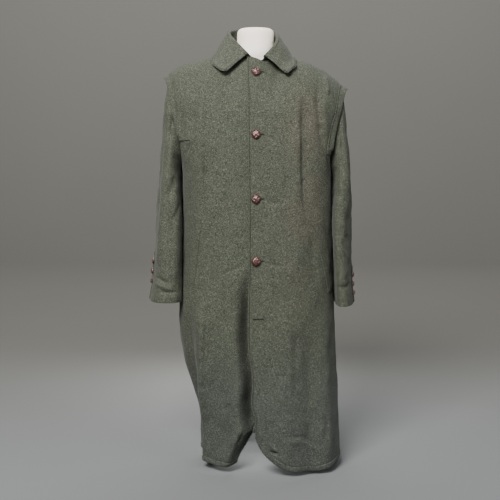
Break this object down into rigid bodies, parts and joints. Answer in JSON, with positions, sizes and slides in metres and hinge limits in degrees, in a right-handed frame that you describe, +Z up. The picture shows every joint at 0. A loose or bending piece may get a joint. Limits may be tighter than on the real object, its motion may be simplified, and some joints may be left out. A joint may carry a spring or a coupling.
{
  "type": "loden coat on a limbless dress form",
  "caption": "Knee-length grey-green loden coat with caps over the sleeve heads, slanted pockets, a turn-down collar and knotted leather buttons, worn by a limbless dress form",
  "frame": {"origin": "On the floor, under the middle of the bounding box", "axes": "+Z up, +X towards the wearer's left, -Y out of the coat's front"},
  "size_m": [0.6252, 0.3459, 1.3404],
  "materials": {
    "cloth": "matte felted wool with a fine mottle",
    "buttons": "knotted leather, half gloss",
    "form": "smooth stretched cover, faint sheen",
    "stand": "satin paint"
  },
  "bodies": {
    "root": {"front_left": "cloth", "front_right": "cloth", "back": "cloth", "sleeve_left": "cloth", "sleeve_right": "cloth", "collar": "cloth", "pocket_welt_left": "cloth", "pocket_welt_right": "cloth", "button_1": "buttons", "button_2": "buttons", "button_3": "buttons", "button_4": "buttons", "button_5": "buttons", "cuff_button_right_1": "buttons", "cuff_button_right_2": "buttons", "cuff_button_right_3": "buttons", "cuff_button_left_1": "buttons", "cuff_button_left_2": "buttons", "cuff_button_left_3": "buttons", "dress_form": "form", "stand_pole": "stand", "stand_base": "stand"}
  },
  "joints": []
}
